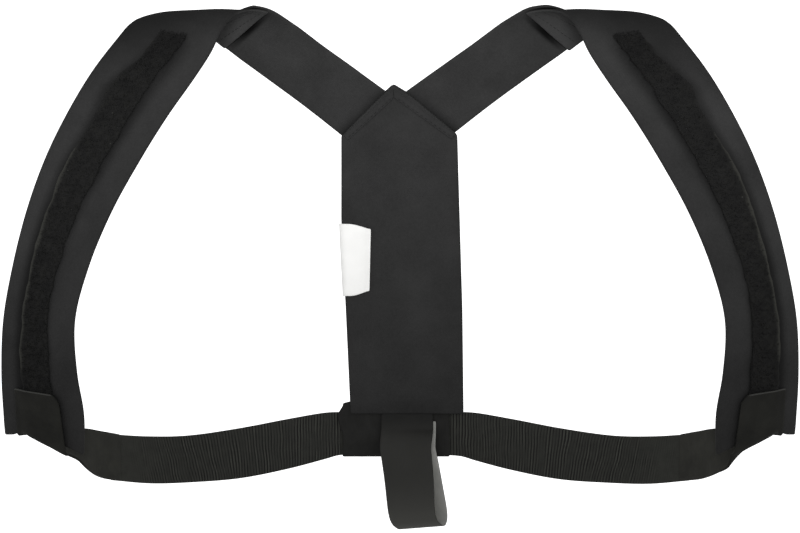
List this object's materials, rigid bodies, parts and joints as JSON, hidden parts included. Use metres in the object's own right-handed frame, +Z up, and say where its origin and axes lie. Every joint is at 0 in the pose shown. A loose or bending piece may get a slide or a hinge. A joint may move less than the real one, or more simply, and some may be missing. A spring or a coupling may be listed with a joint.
{
  "type": "posture corrector",
  "caption": "Black cloth posture corrector: padded back panel, straps over the shoulders into padded front straps, and elastic bands under the arms that fasten with hook tabs.",
  "frame": {"origin": "midway between the shoulders, at the height where the straps rest on them", "axes": "+X to the wearer's left, +Y toward the wearer's back, +Z up"},
  "size_m": [0.4528, 0.118, 0.3058],
  "materials": {
    "foam_knit": "matt black knit laminated to thin foam",
    "strap_knit": "matt black knit",
    "loop_pile": "brushed black loop pile",
    "smooth_tape": "smooth black tape",
    "ribbed_elastic": "black woven elastic with fine cross ribs",
    "white_satin": "white satin ribbon",
    "black_satin": "black satin ribbon with a grey reverse"
  },
  "bodies": {
    "root": {"back_panel": "foam_knit", "panel_sleeve": "smooth_tape", "back_strap_right": "strap_knit", "back_strap_left": "strap_knit", "front_strap_right": "foam_knit", "front_strap_left": "foam_knit", "loop_strip_right": "loop_pile", "loop_strip_left": "loop_pile", "hook_tab_right": "smooth_tape", "hook_tab_left": "smooth_tape", "elastic_band_right": "ribbed_elastic", "elastic_band_left": "ribbed_elastic", "care_label": "white_satin", "loop_label": "black_satin"}
  },
  "joints": []
}
